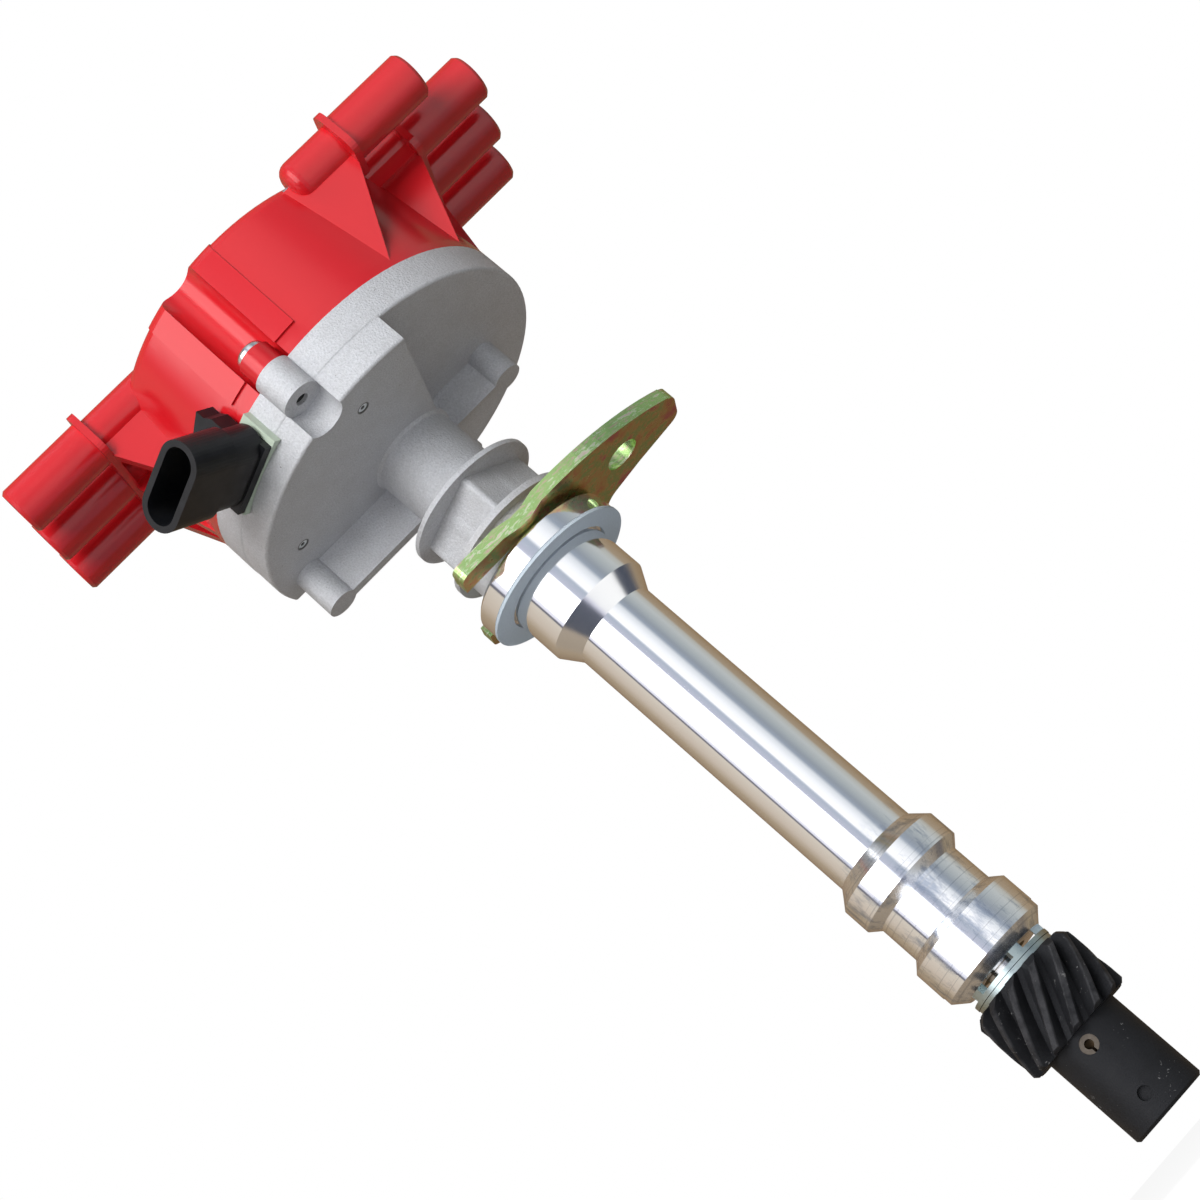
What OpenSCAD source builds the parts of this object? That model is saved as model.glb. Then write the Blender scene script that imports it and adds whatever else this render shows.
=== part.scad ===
// Ignition distributor: long spigot housing, helical drive gear, side-tower cap and hold-down clamp.
// +Z runs up the shaft from the gear to the cap, and the plug towers lie along X.
// The origin is the centre of the mounting gasket's lower face, where the engine's pad meets it.

/* [Housing spigot] */
// Diameter of the pilot below the collar
pilot_d = 35; // [32:0.5:38]
// Length of the pilot, from the collar's face to the start of its taper
pilot_l = 16.1; // [12:0.1:24]
// Axial length of the taper from the pilot to the tube
pilot_taper = 6.7; // [4:0.1:10]
// Height of the relief groove in the corner under the collar
relief_h = 1.2; // [0.5:0.1:2]
// Outer diameter of the long tube
tube_d = 27; // [25:0.5:29]
// Distance from the collar's face to the end of the housing
spigot_l = 164; // [140:1:210]
// Diameter of the two sealing bands near the lower end
band_d = 35; // [32:0.5:38]
// Width of the upper sealing band
upper_band_w = 7.8; // [5:0.1:12]
// Width of the lower sealing band
lower_band_w = 11.5; // [7:0.1:16]
// Width of the slightly smaller rim at the lower band's end
band_rim_w = 2.4; // [1:0.1:4]
// Diameter of the oil groove between the bands
oil_groove_d = 29.2; // [28:0.1:31]
// Width of the oil groove
oil_groove_w = 11.7; // [8:0.1:16]
// Axial length of the slope between the tube and the upper band
band_slope = 4.6; // [3:0.1:7]
// Axial length of each slope of the oil groove
groove_slope = 2.8; // [2:0.1:4]
// Axial length of the chamfer at the housing's end
end_chamfer = 3.3; // [2:0.1:5]
// Diameter of the housing's end face
end_d = 27.5; // [25:0.5:30]

/* [Housing neck] */
// Diameter of the seating collar
collar_d = 49.4; // [44:0.2:60]
// Height of the seating collar
collar_h = 7.1; // [5:0.1:12]
// Diameter of the round neck that the clamp's fork goes round
clamp_neck_d = 37; // [34:0.5:40]
// Height of the gap that the clamp lies in
clamp_gap = 10.3; // [8:0.1:16]
// Diameter of the two thin discs
disc_d = 44.2; // [40:0.2:52]
// Thickness of each thin disc
disc_t = 2; // [1.5:0.1:4]
// Width of the square neck over its flats
square_w = 27; // [25:0.5:29]
// Corner radius of the square neck
square_r = 1.6; // [0.5:0.1:3]
// Height of the square neck
square_h = 14.3; // [10:0.1:20]
// Diameter of the cast neck under the bowl
neck_d = 27.5; // [26:0.5:30]
// Height of the cast neck
neck_h = 23.5; // [20:0.5:34]

/* [Housing bowl] */
// Outer diameter of the bowl and the cap
bowl_d = 114; // [110:1:124]
// Height of the deep half of the bowl
bowl_deep_h = 20.8; // [19:0.2:26]
// Height of the shallow half of the bowl
bowl_shallow_h = 10.9; // [9:0.1:12]
// Position along X of the step between the deep and the shallow half
step_x = 12; // [10:0.5:14]
// Position along Y of the step at the back
step_y = 17; // [15:0.5:20]
// Wall and floor thickness of the bowl
bowl_wall = 3.2; // [2.5:0.1:3.6]
// Radius of the bowl's lower edge
bowl_edge = 1; // [0.6:0.1:3]
// Diameter of the stand-off posts
post_d = 10; // [8:0.5:12]
// Place of the left post
left_post = [-46, 9];
// Place of the right post
right_post = [36, 7.5];
// Height of the left post below the collar's face datum
left_post_z = 44.6; // [40:0.2:52]
// Height of the right post's end
right_post_z = 57.4; // [54:0.2:62]
// Thickness of the ribs from the neck to the posts
rib_t = 4; // [3:0.5:6]

/* [Cap screws] */
// Distance of the cap screws' axes outside the bowl's wall
screw_offset = 0.2; // [-1:0.1:3]
// Direction of the front cap screw, in degrees
screw_angle = 251; // [246:1:254]
// Diameter of the housing's screw bosses
boss_d = 12.4; // [11:0.2:14]
// Height of the housing's screw bosses
boss_h = 11.6; // [10:0.2:14]
// Diameter of the cap screws
screw_d = 4.2; // [4:0.2:5.5]
// Diameter of the cap screws' heads
screw_head_d = 9.4; // [8.5:0.1:10]
// Diameter of the cap's screw lugs
lug_d = 11; // [9:0.1:12]
// Height of the cap's screw lugs
lug_h = 7.4; // [5:0.1:10]

/* [Cap] */
// Height of the cap's crown above the joint
cap_h = 44; // [40:0.5:52]
// Draft of the cap's wall, as the radius it loses from skirt to crown
crown_draft = 2; // [0:0.1:4]
// Radius of the crown's edge
crown_edge = 5; // [2:0.5:7]
// Thickness of the cap's wall
cap_wall = 3; // [2.5:0.1:4]
// Thickness of the crown that holds the conductors
crown_t = 14; // [13:0.5:15]
// Radius of the flutes over the cap screws
flute_r = 6.9; // [6:0.1:8]
// Distance of the flutes' centres inside the bowl's wall
flute_inset = 1; // [-1:0.1:2]
// Half width of the raised pads beside each flute
pad_half_w = 14.5; // [12:0.5:18]
// Height of the raised pads over the wall
pad_proud = 0.8; // [0.4:0.1:1.5]

// Height of the ring that enters the bowl
spigot_h = 2.5; // [1:0.1:3]
// Wall of the ring that enters the bowl
spigot_t = 2.6; // [2:0.1:4]
// Radial gap between that ring and the bowl
spigot_gap = 0.2; // [0.1:0.05:0.4]

/* [Towers] */
// Outer diameter of a tower
tower_d = 15.5; // [14:0.1:17]
// Length of a tower beyond its plate
tower_l = 28; // [22:1:34]
// Distance between the towers
tower_pitch = 24; // [21:0.5:26]
// Distance of the coil tower's row from the middle row
coil_row = 48; // [44:0.5:50]
// Distance of the towers' axes below the crown
tower_drop = 3.3; // [2:0.1:6]
// Diameter of the socket in a tower
socket_d = 10; // [9:0.1:11]
// Depth of the socket in a tower
socket_depth = 15; // [12:1:18]
// Diameter of the tunnels between the crown and the plates
tunnel_d = 13.6; // [12:0.2:15]
// Distance of the plug towers' plates outside the cap's wall
plate_gap = 4.9; // [2:0.1:12]
// Distance of the coil tower's plate behind the plug towers' plate
coil_plate_back = 18.5; // [14:0.1:20]
// Thickness of the plates
plate_t = 2.2; // [1.6:0.1:4]
// Height of the plates
plate_h = 17.3; // [16:0.1:20]
// Thickness of the gussets under the tunnels
gusset_t = 4; // [3:0.5:6]

/* [Rotating parts] */
// Diameter of the main shaft
shaft_d = 12.45; // [11:0.05:13]
// Radial running clearance of the shaft in its bushings
running_gap = 0.05; // [0.02:0.01:0.08]
// Outer diameter of the bushings
bushing_d = 16; // [15.5:0.1:17]
// Length of each bushing
bushing_l = 23; // [18:1:26]
// Diameter of an electrode
electrode_d = 6; // [5:0.1:7]
// Gap between the rotor's blade and the electrodes
spark_gap = 0.8; // [0.5:0.1:1.5]
// Radius of the shutter wheel
shutter_r = 27; // [25:0.5:29]

/* [Drive gear] */
// Outside diameter of the gear's teeth
gear_d = 34.7; // [32:0.1:37]
// Root diameter of the gear's teeth
gear_root_d = 27; // [25:0.1:28.5]
// Number of teeth
gear_teeth = 13; // [11:1:15]
// Helix angle at the outside diameter, in degrees
helix_angle = 35; // [20:1:45]
// Width of the toothed part
gear_w = 20.9; // [16:0.1:26]
// Diameter of the gear's hub
hub_d = 24.3; // [22:0.1:26]
// Length of the gear's hub
hub_l = 29.2; // [22:0.1:36]
// Outer diameter of the roll pin
roll_pin_d = 5.2; // [4:0.1:6]
// Distance of the roll pin below the gear's teeth
roll_pin_drop = 4.3; // [4:0.1:8]
// Width of the oil-pump slot in the shaft's end
pump_slot_w = 5.2; // [4.6:0.1:6]
// Depth of the oil-pump slot
pump_slot_depth = 8; // [6:0.5:10]

/* [Washers and gasket] */
// Thickness of the mounting gasket
gasket_t = 0.8; // [0.5:0.1:2]
// Outer diameter of the mounting gasket
gasket_d = 50; // [44:0.5:60]
// Radial gap between the gasket and the pilot
gasket_gap = 0.8; // [0.3:0.1:1.5]
// Outer diameter of the two washers above the gear
washer_d = 27.7; // [26:0.1:30]
// Thickness of each washer
washer_t = 1.35; // [1:0.05:2]
// Height of the tangs on the upper washer
tang_h = 2; // [1:0.1:3]
// Number of tangs on the upper washer
tang_count = 5; // [4:1:10]
// Width of a tang
tang_w = 3.6; // [2.5:0.1:4.5]

/* [Hold-down clamp] */
// Thickness of the clamp's plate
clamp_t = 4.2; // [3:0.1:6]
// Width of one fork arm
fork_arm_w = 9.3; // [7:0.1:12]
// Gap between the neck and the fork
fork_gap = 0.7; // [0.4:0.1:2]
// Length of the fork's arms beyond the neck's centre
fork_l = 23.5; // [20:0.5:30]
// Depth of the bend that presses on the collar
fork_dip = 1.2; // [0.6:0.1:2]
// Place of the bolt hole
bolt_place = [37, -8.5];
// Diameter of the bolt hole
bolt_hole_d = 11.2; // [8:0.1:12]
// Reach of the clamp's rounded tip from the shaft
clamp_reach = 59; // [54:1:72]

/* [Sensor] */
// Direction of the sensor and its connector, in degrees
sensor_angle = 225; // [220:1:230]
// Thickness of the seal plate at its middle, outside the bowl's wall
seal_t = 1; // [0.6:0.1:2]
// Width of the seal plate
seal_w = 26.4; // [25:0.2:28]
// Width of the connector's flange
flange_w = 23.6; // [22:0.2:26]
// Thickness of the connector's flange
flange_t = 2.6; // [2:0.1:4]
// Depth of the step behind the connector's hood
tongue_t = 6.5; // [4:0.1:8]
// Length of the connector beyond its flange
hood_l = 25.4; // [20:0.2:30]
// Width of the connector's hood
hood_w = 29; // [27:0.5:32]
// Height of the connector's hood
hood_h = 13.6; // [12:0.2:16]
// Wall of the connector's hood
hood_wall = 2; // [1.5:0.1:2.5]
// Depth of the connector's socket
hood_depth = 17; // [12:1:19]
// Diameter of the sensor's screws
sensor_screw_d = 3.4; // [3:0.1:4]
// Angle from the sensor's middle to each of its screws, in degrees
sensor_screw_spread = 35; // [32:1:38]
// Distance of the sensor's screws inside the bowl's wall
sensor_screw_inset = 13.5; // [12:0.1:15]

/* [Hidden] */
$fn = 96;
eps = 0.01;

// Heights of the housing, from the collar's face upwards
z_face = gasket_t;
z_collar = z_face + collar_h;
z_disc_low = z_collar + clamp_gap;
z_square = z_disc_low + disc_t;
z_disc_high = z_square + square_h;
z_neck = z_disc_high + disc_t;
z_deep = z_neck + neck_h;
z_joint = z_deep + bowl_deep_h;
z_shallow = z_joint - bowl_shallow_h;
z_deep_floor = z_deep + bowl_wall;
z_shallow_floor = z_shallow + bowl_wall;

// Heights of the housing, from the collar's face downwards
z_pilot = z_face - pilot_l;
z_tube = z_pilot - pilot_taper;
z_end = z_face - spigot_l;
z_lower_band = z_end + end_chamfer;
z_rim = z_lower_band + band_rim_w;
z_lower_band_top = z_lower_band + lower_band_w;
z_groove = z_lower_band_top + groove_slope;
z_groove_top = z_groove + oil_groove_w;
z_upper_band = z_groove_top + groove_slope;
z_upper_band_top = z_upper_band + upper_band_w;
z_tube_end = z_upper_band_top + band_slope;

// Heights of the washers and the gear
washer_gap = 0.15;
z_washer_upper = z_end - tang_h;
z_washer_lower = z_washer_upper - washer_t - washer_gap;
z_gear = z_washer_lower - washer_t;
z_hub = z_gear - gear_w;
z_hub_end = z_hub - hub_l;
z_shaft_end = z_hub_end + 1;
z_roll_pin = z_hub - roll_pin_drop;
pin_angle = 254;
tooth_phase = 10;

// Radii and heights inside the bowl
bowl_r = bowl_d / 2;
crown_r = bowl_r - crown_draft;
screw_circle_r = bowl_r + screw_offset;
flute_circle_r = bowl_r - flute_inset;
pass_x = bowl_r - 10.6;
sensor_screw_r = bowl_r - sensor_screw_inset;
bowl_inner_r = bowl_r - bowl_wall - 0.2;
deep_inner_r = bowl_r - 2 * bowl_wall + 0.4;
bushing_bore_r = shaft_d / 2 + running_gap;
boss_top = z_deep_floor + 3.5;
z_bushing_top = boss_top - 2.5;
z_rotor_hub = z_shallow_floor + 0.5;
z_shutter = z_joint - 0.7;
shutter_t = 1.5;
skirt_t = 1.1;
z_skirt = z_shallow_floor + 1.3;
z_plate = z_shutter + shutter_t;
plate_disc_t = 2.5;
z_rotor = z_plate + plate_disc_t;
rotor_base_t = 4;
rotor_base_r = 24;
rotor_hub_r = 11;
z_blade = z_rotor + 14;
blade_t = 1.2;
z_ceiling = z_joint + cap_h - crown_t;
z_electrode = z_blade - 2;
z_crown = z_joint + cap_h;
z_tower = z_crown - tower_drop;
electrode_circle_r = tower_pitch / sin(60);
blade_reach = electrode_circle_r - electrode_d / 2 - spark_gap;

// The button, its spring and the rods in the crown
button_r = 2.5;
button_l = 8;
button_gap = 0.2;
button_travel = 1.5;
z_button = z_blade + blade_t + button_gap;
z_button_top = z_button + button_l;
z_spring_top = z_tower - 3.5;
rod_r = 1.5;
guide_r = 6;
z_guide = z_ceiling - 6;
spring_wire = 0.5;
spring_r = 1.9;
spring_turns = 7;

// Tower rows and the plane of the coil tower
rows = [-tower_pitch, 0, tower_pitch];
coil_y = -coil_row;
terminal_t = 1.5;
terminal_nipple = 3;
plate_half_y = tower_pitch + 9.5;
z_plate_low = z_tower - plate_h / 2 - 0.9;
plate_x = bowl_r + plate_gap;
coil_plate_x = plate_x - coil_plate_back;

// Sensor heights
flange_h = 10.2;
z_flange = z_joint - 12.7;
flange_left = -flange_w / 2 - 0.6;
z_hood = z_joint - 5.9;
pass_w = 20;
pass_low = z_joint - 11.1;

function arc(cx, cy, r, a0, a1, n) =
    [for (i = [0:n]) [cx + r * cos(a0 + (a1 - a0) * i / n), cy + r * sin(a0 + (a1 - a0) * i / n)]];

function round_box(x0, x1, y0, y1, r, n = 6) = concat(
    arc(x1 - r, y1 - r, r, 0, 90, n), arc(x0 + r, y1 - r, r, 90, 180, n),
    arc(x0 + r, y0 + r, r, 180, 270, n), arc(x1 - r, y0 + r, r, 270, 360, n));

// Half chord of a circle at a distance from its centre
function chord(r, d) = sqrt(r * r - d * d);

module at_polar(r, a) {
    rotate([0, 0, a]) translate([r, 0, 0]) children();
}

module along_x(x0, x1, y, z, r) {
    translate([min(x0, x1), y, z]) rotate([0, 90, 0]) cylinder(r = r, h = abs(x1 - x0));
}

module ring(r_out, r_in, z0, z1) {
    difference() {
        translate([0, 0, z0]) cylinder(r = r_out, h = z1 - z0);
        translate([0, 0, z0 - 1]) cylinder(r = r_in, h = z1 - z0 + 2);
    }
}

// Cap

module cap_body(grow) {
    rotate_extrude() polygon(concat(
        [[0, z_joint], [bowl_r + grow, z_joint], [bowl_r + grow, z_joint + 3]],
        arc(crown_r + grow - crown_edge, z_crown - crown_edge, crown_edge, 0, 90, 9),
        [[0, z_crown]]));
}

module cap_flute(r) {
    for (side = [0, 180])
        at_polar(flute_circle_r, screw_angle + side) translate([0, 0, z_joint - 1]) cylinder(r = r, h = cap_h + 2);
}

module cap_cavity() {
    difference() {
        rotate_extrude() polygon([
            [0, z_joint - 4], [bowl_inner_r - spigot_t, z_joint - 4], [bowl_inner_r - spigot_t, z_joint],
            [crown_r - cap_wall, z_ceiling - 3], [crown_r - cap_wall - 3, z_ceiling], [0, z_ceiling]]);
        cap_flute(flute_r + cap_wall);
        translate([0, 0, z_guide]) cylinder(r = guide_r, h = cap_h);
    }
}

module cap_lug() {
    for (side = [0, 180]) rotate([0, 0, screw_angle + side]) {
        translate([screw_circle_r, 0, z_joint]) cylinder(d = lug_d, h = lug_h);
        translate([flute_circle_r - flute_r - 1, -lug_d / 2 + 0.6, z_joint])
            cube([screw_circle_r - flute_circle_r + flute_r + 1, lug_d - 1.2, lug_h]);
    }
}

// Low ring that enters the bowl, cut back at the screw bosses and the sensor
module cap_spigot() {
    difference() {
        ring(bowl_inner_r - spigot_gap, bowl_inner_r - spigot_t - 1, z_joint - spigot_h, z_joint + 1);
        for (side = [0, 180]) at_polar(screw_circle_r, screw_angle + side)
            translate([0, 0, z_joint - spigot_h - 1]) cylinder(d = boss_d + 0.6, h = spigot_h + 1);
        rotate([0, 0, sensor_angle]) translate([bowl_inner_r - 10, -pass_w / 2 - 1, z_joint - spigot_h - 1])
            cube([15, pass_w + 2, spigot_h + 1]);
    }
}

module cap_pads() {
    intersection() {
        cap_body(pad_proud);
        for (side = [0, 180]) rotate([0, 0, screw_angle + side])
            translate([flute_circle_r - 20, -pad_half_w, z_joint + 5.5]) cube([30, 2 * pad_half_w, cap_h]);
    }
}

// Tunnel, plate-to-tip tower and gusset of one row, on the side that side names
module tower_row(side, y, x_in, x_plate, gusset_y, boxed) {
    x_tip = x_plate + plate_t + tower_l;
    translate([side * (x_in - 5), y, z_tower]) rotate([0, side * 90, 0]) rotate_extrude() polygon(concat(
        [[0, 0]], arc(tunnel_d / 2 - 4, 4, 4, -90, 0, 5), [[tunnel_d / 2, x_plate - x_in + 6], [0, x_plate - x_in + 6]]));
    along_x(side * x_plate, side * (x_tip - 1), y, z_tower, tower_d / 2);
    translate([side * (x_tip - 1), y, z_tower]) rotate([0, side * 90, 0])
        cylinder(r1 = tower_d / 2, r2 = tower_d / 2 - 0.8, h = 1);
    rim_x = chord(bowl_r, max(abs(gusset_y), abs(gusset_y + gusset_t)));
    translate([0, gusset_y + gusset_t, 0]) rotate([90, 0, 0]) linear_extrude(gusset_t) polygon([
        [side * (rim_x - 8), z_joint + 1], [side * (rim_x - 0.5), z_joint + 1],
        [side * (x_plate + plate_t - 0.8), z_plate_low + 2], [side * (x_plate + plate_t - 0.8), z_tower],
        [side * (rim_x - 8), z_tower]]);
    if (boxed)
        translate([side > 0 ? rim_x - 6 : -x_plate - 1, y - 5.5, z_plate_low + 1])
            cube([x_plate - rim_x + 7, 11, z_tower - z_plate_low + 2]);
}

module tower_plate(x, y0, y1) {
    translate([x, 0, 0]) rotate([90, 0, 90]) linear_extrude(plate_t)
        polygon(round_box(y0, y1, z_plate_low, z_plate_low + plate_h, 4));
}

module tower_socket(side, y, x_tip) {
    along_x(side * (x_tip - socket_depth), side * (x_tip + 1), y, z_tower, socket_d / 2);
}

plug_tip = plate_x + plate_t + tower_l;
coil_tip = coil_plate_x + plate_t + tower_l;

// Distance along X of the electrode that serves the tower at y
function electrode_x(y) = chord(electrode_circle_r, y);

module distributor_cap() color("crimson") {
    difference() {
        union() {
            difference() {
                union() {
                    cap_body(0);
                    cap_pads();
                    for (side = [-1, 1], y = rows)
                        tower_row(side, y, electrode_x(y), plate_x, y - gusset_t, side > 0 || y != rows[0]);
                    tower_row(1, coil_y, chord(bowl_r, coil_y) - 1, coil_plate_x, coil_y - 2, false);
                    tower_plate(plate_x, -plate_half_y, plate_half_y);
                    tower_plate(-plate_x - plate_t, -plate_half_y, plate_half_y);
                    tower_plate(coil_plate_x, coil_y - 9.5, coil_y + 9.5);
                    translate([0, coil_y - 2, z_tower - 0.5]) rotate([-90, 0, 0]) rotate_extrude() polygon(concat(
                        [[0, 0]], arc(2, 3, 3, -90, 0, 4), arc(2, -coil_y + 3, 3, 0, 90, 4), [[0, -coil_y + 6]]));
                }
                cap_flute(flute_r);
            }
            cap_lug();
            cap_spigot();
        }
        cap_cavity();
        for (side = [0, 180]) at_polar(screw_circle_r, screw_angle + side)
            translate([0, 0, z_joint - 1]) cylinder(d = screw_d, h = lug_h + 2);
        for (side = [-1, 1], y = rows) {
            tower_socket(side, y, plug_tip);
            along_x(side * electrode_x(y), side * plug_tip, y, z_tower, rod_r);
            translate([side * electrode_x(y), y, z_ceiling - 1]) cylinder(d = electrode_d, h = z_tower + 3 - z_ceiling);
        }
        tower_socket(1, coil_y, coil_tip);
        along_x(-rod_r, coil_tip, coil_y, z_tower, rod_r);
        translate([0, coil_y, z_tower]) rotate([-90, 0, 0]) cylinder(r = rod_r, h = -coil_y);
        translate([0, 0, z_guide - 1]) cylinder(r = button_r + 0.1, h = z_tower - z_guide + 1);
        translate([0, 0, z_spring_top]) cylinder(r = 4, h = 2);
    }
}

module terminal_cup(side, y, x_tip) {
    x0 = x_tip - socket_depth;
    along_x(side * x0, side * (x0 + terminal_t), y, z_tower, socket_d / 2);
    along_x(side * x0, side * (x0 + terminal_t + terminal_nipple), y, z_tower, 2.2);
}

module plug_terminals() color("silver") {
    for (side = [-1, 1], y = rows) {
        terminal_cup(side, y, plug_tip);
        along_x(side * electrode_x(y), side * (plug_tip - socket_depth + 1), y, z_tower, rod_r);
        translate([side * electrode_x(y), y, z_electrode]) cylinder(d = electrode_d, h = z_tower + 2 - z_electrode);
    }
}

module coil_terminal() color("silver") {
    terminal_cup(1, coil_y, coil_tip);
    along_x(-rod_r, coil_tip - socket_depth + 1, coil_y, z_tower, rod_r);
    translate([0, coil_y, z_tower]) rotate([-90, 0, 0]) cylinder(r = rod_r, h = -coil_y);
    translate([0, 0, z_spring_top]) cylinder(r = 4, h = 2);
    translate([0, 0, z_spring_top]) cylinder(r = button_r + 0.1, h = z_tower - z_spring_top);
}

module carbon_button() color("dimgray") {
    translate([0, 0, z_button + 1]) cylinder(r = button_r, h = button_l - 1);
    translate([0, 0, z_button]) cylinder(r1 = button_r - 1, r2 = button_r, h = 1);
}

// Helical spring: a ring of points swept along the coil, closed at both ends
module button_spring() color("gray") {
    sides = 6;
    steps = spring_turns * 14;
    h = z_spring_top - z_button_top - 2 * spring_wire;
    points = [for (i = [0:steps], j = [0:sides - 1])
        let (a = 360 * spring_turns * i / steps, b = 360 * j / sides, r = spring_r + spring_wire / 2 * cos(b))
        [r * cos(a), r * sin(a), z_button_top + spring_wire + h * i / steps + spring_wire / 2 * sin(b)]];
    walls = [for (i = [0:steps - 1], j = [0:sides - 1])
        [i * sides + j, (i + 1) * sides + j, (i + 1) * sides + (j + 1) % sides, i * sides + (j + 1) % sides]];
    first = [for (j = [0:sides - 1]) j];
    last = [for (j = [sides - 1:-1:0]) steps * sides + j];
    polyhedron(points, concat(walls, [first], [last]), convexity = 10);
}

module cap_screws() color("gainsboro") {
    for (side = [0, 180]) at_polar(screw_circle_r, screw_angle + side) {
        translate([0, 0, z_joint - boss_h + 1.2]) cylinder(d = screw_d, h = boss_h - 1.2 + lug_h);
        translate([0, 0, z_joint + lug_h]) difference() {
            rotate_extrude() polygon(concat(
                [[0, 0], [screw_head_d / 2, 0]], arc(screw_head_d / 2 - 2, 1, 2, 0, 76, 6), [[0, 3.1]]));
            translate([0, 0, 1.4]) cylinder(d = 3.4, h = 2, $fn = 6);
        }
    }
}

// Housing

module spigot() {
    rotate_extrude() polygon([
        [0, z_end], [end_d / 2, z_end], [band_d / 2 - 0.2, z_lower_band], [band_d / 2 - 0.2, z_rim],
        [band_d / 2, z_rim], [band_d / 2, z_lower_band_top],
        [oil_groove_d / 2, z_groove], [oil_groove_d / 2, z_groove_top],
        [band_d / 2, z_upper_band], [band_d / 2, z_upper_band_top],
        [tube_d / 2, z_tube_end], [tube_d / 2, z_tube], [pilot_d / 2, z_pilot],
        [pilot_d / 2, z_face - relief_h], [pilot_d / 2 - 0.4, z_face - relief_h], [pilot_d / 2 - 0.4, z_face],
        [collar_d / 2 - 0.4, z_face], [collar_d / 2, z_face + 0.4],
        [collar_d / 2, z_collar - 1], [collar_d / 2 - 1, z_collar],
        [clamp_neck_d / 2, z_collar], [clamp_neck_d / 2, z_disc_low],
        [disc_d / 2, z_disc_low], [disc_d / 2, z_square], [neck_d / 2, z_square],
        [neck_d / 2, z_disc_high], [disc_d / 2, z_disc_high], [disc_d / 2, z_neck - 0.5],
        [disc_d / 2 - 1, z_neck], [neck_d / 2, z_neck],
        [neck_d / 2, z_deep - 0.8], [neck_d / 2 + 0.8, z_deep], [neck_d / 2 + 0.8, z_deep + 1], [0, z_deep + 1]]);
    translate([0, 0, z_square]) rotate([0, 0, 45]) linear_extrude(square_h)
        polygon(round_box(-square_w / 2, square_w / 2, -square_w / 2, square_w / 2, square_r));
}

module bowl_outside(r, z0, z1) {
    rotate_extrude() polygon(concat(
        [[0, z0]], arc(r - bowl_edge, z0 + bowl_edge, bowl_edge, -90, 0, 6), [[r, z1], [0, z1]]));
}

// Plan of the deep half: everything in front of and to the left of the steps, less an inset
module deep_plan(inset) {
    translate([-bowl_r - 1, -bowl_r - 1])
        square([bowl_r + 1 + step_x - inset, bowl_r + 1 + step_y - inset]);
}

module bowl_solid() {
    bowl_outside(bowl_r, z_shallow, z_joint);
    intersection() {
        bowl_outside(bowl_r - 0.2, z_deep, z_joint);
        translate([0, 0, z_deep - 1]) linear_extrude(bowl_deep_h + 1) deep_plan(0);
    }
}

module bowl_cavity() {
    difference() {
        union() {
            translate([0, 0, z_shallow_floor]) cylinder(r = bowl_inner_r, h = bowl_deep_h);
            intersection() {
                translate([0, 0, z_deep_floor]) cylinder(r = deep_inner_r, h = bowl_deep_h);
                translate([0, 0, z_deep_floor - 1]) linear_extrude(bowl_deep_h) deep_plan(bowl_wall);
            }
        }
        cylinder(r = 12, h = boss_top);
        boss_flute(boss_d / 2 + bowl_wall);
    }
}

// Round recess below the front boss
module boss_flute(r) {
    at_polar(screw_circle_r, screw_angle) translate([0, 0, z_deep - 1])
        cylinder(r = r, h = bowl_deep_h - boss_h + 2);
}

// Stand-off post with a rib that runs to it from x_rib
module post(place, z_low, z_high, x_rib) {
    translate([place[0], place[1], z_low]) cylinder(d = post_d, h = z_high - z_low + 1);
    translate([min(place[0], x_rib), place[1] - rib_t / 2, z_low])
        cube([abs(place[0] - x_rib), rib_t, z_high - z_low + 1]);
}

module housing() color("silver") {
    difference() {
        union() {
            spigot();
            post(left_post, z_face + left_post_z, z_deep, -neck_d / 2 + 3);
            post(right_post, z_face + right_post_z, z_shallow, step_x - 1);
            difference() {
                bowl_solid();
                bowl_cavity();
                boss_flute(boss_d / 2);
            }
            for (side = [0, 180]) at_polar(screw_circle_r, screw_angle + side)
                translate([0, 0, z_joint - boss_h]) cylinder(d = boss_d, h = boss_h);
        }
        translate([0, 0, z_end - 1]) cylinder(d = bushing_d, h = boss_top - z_end + 2);
        translate([0, 0, z_end + bushing_l + 4]) cylinder(d = bushing_d + 2, h = z_bushing_top - z_end - 2 * bushing_l - 8);
        for (side = [0, 180]) at_polar(screw_circle_r, screw_angle + side)
            translate([0, 0, z_joint - boss_h - 1]) cylinder(d = screw_d, h = boss_h + 2);
        for (side = [-1, 1]) at_polar(sensor_screw_r, sensor_angle + side * sensor_screw_spread)
            translate([0, 0, z_deep - 1]) cylinder(d = sensor_screw_d, h = bowl_wall + 2);
        rotate([0, 0, sensor_angle]) translate([pass_x - 1, -pass_w / 2, pass_low])
            cube([20, pass_w, z_joint - pass_low + 1]);
    }
}

// Sensor and connector

module stadium(w, h, x0, x1) {
    rotate([0, 0, sensor_angle]) translate([x0, 0, z_hood]) rotate([90, 0, 90]) linear_extrude(x1 - x0)
        polygon(round_box(-w / 2, w / 2, -h / 2, h / 2, h / 2 - 0.01, 10));
}

flange_x = bowl_r + seal_t;
seal_gap = 0.06;
hood_x = flange_x + flange_t;

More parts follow.
